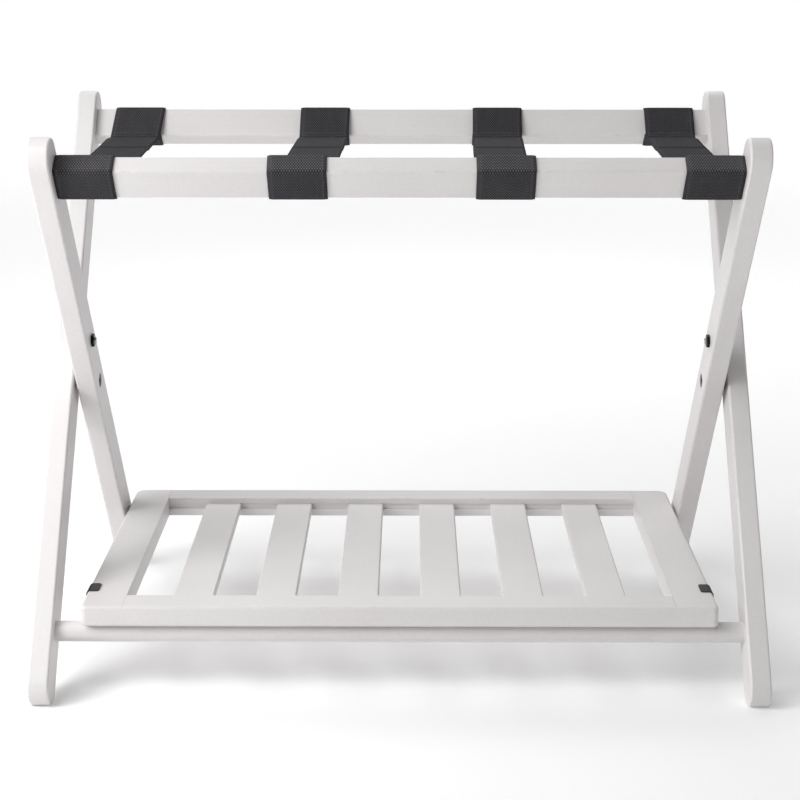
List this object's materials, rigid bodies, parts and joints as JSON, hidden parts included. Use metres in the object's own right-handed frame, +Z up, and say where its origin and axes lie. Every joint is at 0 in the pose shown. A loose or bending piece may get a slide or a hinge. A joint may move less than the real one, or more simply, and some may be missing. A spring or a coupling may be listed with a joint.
{
  "type": "folding luggage rack",
  "caption": "Free-standing folding luggage rack: crossed painted wooden legs, grey webbing straps across the top and a hinged slatted lower shelf.",
  "frame": {"origin": "on the floor, midway between the left and right legs, straight under the line through the two pivot bolts", "axes": "+X to the right seen from the front (along the top rails), +Y to the back, +Z up"},
  "size_m": [0.662, 0.4076, 0.5132],
  "materials": {
    "white_paint": "satin white paint on solid wood",
    "grey_webbing": "woven polyester webbing, charcoal grey",
    "bolt_steel": "zinc-plated steel",
    "black_nut": "black oxide",
    "nylon_spacer": "dull nylon",
    "black_plastic": "matt moulded plastic"
  },
  "bodies": {
    "outer_frame": {"outer_leg_left": "white_paint", "outer_leg_right": "white_paint", "rear_top_rail": "white_paint", "front_stretcher": "white_paint", "pivot_bolt_left": "bolt_steel", "pivot_bolt_right": "bolt_steel", "pivot_nut_left": "bolt_steel", "pivot_nut_right": "bolt_steel", "pivot_spacer_left": "nylon_spacer", "pivot_spacer_right": "nylon_spacer", "webbing_strap_1": "grey_webbing", "webbing_strap_2": "grey_webbing", "webbing_strap_3": "grey_webbing", "webbing_strap_4": "grey_webbing"},
    "inner_frame": {"inner_leg_left": "white_paint", "inner_leg_right": "white_paint", "front_top_rail": "white_paint", "stop_bolt_left": "bolt_steel", "stop_bolt_right": "bolt_steel", "stop_nut_left": "black_nut", "stop_nut_right": "black_nut", "shelf_bolt_left": "bolt_steel", "shelf_bolt_right": "bolt_steel", "shelf_washer_left": "nylon_spacer", "shelf_washer_right": "nylon_spacer"},
    "shelf": {"shelf_end_board_left": "white_paint", "shelf_end_board_right": "white_paint", "shelf_front_rail": "white_paint", "shelf_rear_rail": "white_paint", "shelf_slat_1": "white_paint", "shelf_slat_2": "white_paint", "shelf_slat_3": "white_paint", "shelf_slat_4": "white_paint", "shelf_slat_5": "white_paint", "shelf_slat_6": "white_paint", "shelf_edge_clip_left": "black_plastic", "shelf_edge_clip_right": "black_plastic"}
  },
  "joints": [
    {"name": "frame_fold", "type": "hinge", "parent": "outer_frame", "child": "inner_frame", "pos_m": [0, 0, 0.25305], "axis": [-1, 0, 0], "range_deg": [0, 67.5], "deforming": ["webbing_strap_1", "webbing_strap_2", "webbing_strap_3", "webbing_strap_4"]},
    {"name": "shelf_fold", "type": "hinge", "parent": "inner_frame", "child": "shelf", "pos_m": [0, 0.13821, 0.07487], "axis": [-1, 0, 0], "range_deg": [0, 48.9]}
  ]
}
